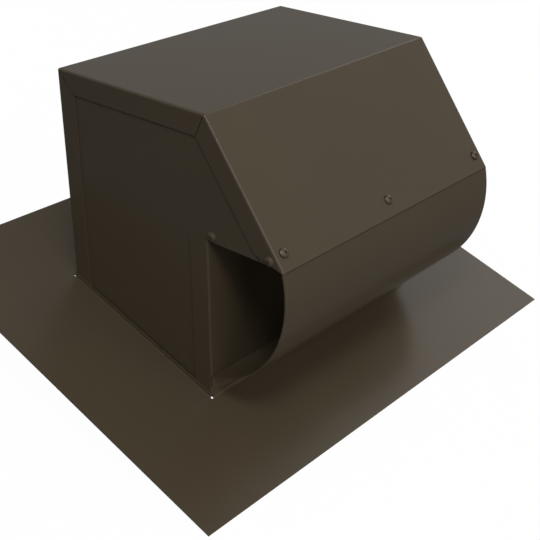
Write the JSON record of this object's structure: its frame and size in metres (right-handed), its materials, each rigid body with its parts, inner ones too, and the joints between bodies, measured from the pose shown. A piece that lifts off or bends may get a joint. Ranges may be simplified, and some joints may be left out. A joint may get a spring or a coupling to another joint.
{
  "type": "roof exhaust vent cap",
  "caption": "Folded sheet roof exhaust cap on a pitched flashing, with a curved deflector open at both ends, a bird screen and a hinged backdraft flap.",
  "frame": {"origin": "middle of the throat, in the plane of the flashing's underside", "axes": "+Z upright as installed, the outlet hood leans out towards -Y, the roof and flashing rise towards +Y at 17.7 degrees, X across the cap"},
  "size_m": [0.457, 0.3382, 0.267],
  "materials": {
    "bronze_paint": "satin dark bronze powder coat",
    "bronze_screw": "dark bronze coated screws",
    "zinc_sheet": "zinc coated sheet",
    "zinc_wire": "zinc coated welded wire",
    "bright_steel": "bright drawn rod",
    "foam_seal": "closed cell foam"
  },
  "bodies": {
    "housing": {"flashing": "bronze_paint", "hood_wrapper": "bronze_paint", "left_side_panel": "bronze_paint", "right_side_panel": "bronze_paint", "front_wall": "bronze_paint", "curved_deflector": "bronze_paint", "screen_frame": "bronze_paint", "damper_seat": "zinc_sheet", "damper_hinge_leaf": "zinc_sheet", "bird_screen": "zinc_wire", "damper_hinge_pin": "bright_steel", "damper_gasket": "foam_seal", "front_screws": "bronze_screw", "side_screws": "bronze_screw"},
    "damper": {"damper_flap": "zinc_sheet"}
  },
  "joints": [
    {"name": "damper_hinge", "type": "hinge", "parent": "housing", "child": "damper", "pos_m": [0, 0.07735, 0.11999], "axis": [-1, 0, 0], "range_deg": [0, 33]}
  ]
}
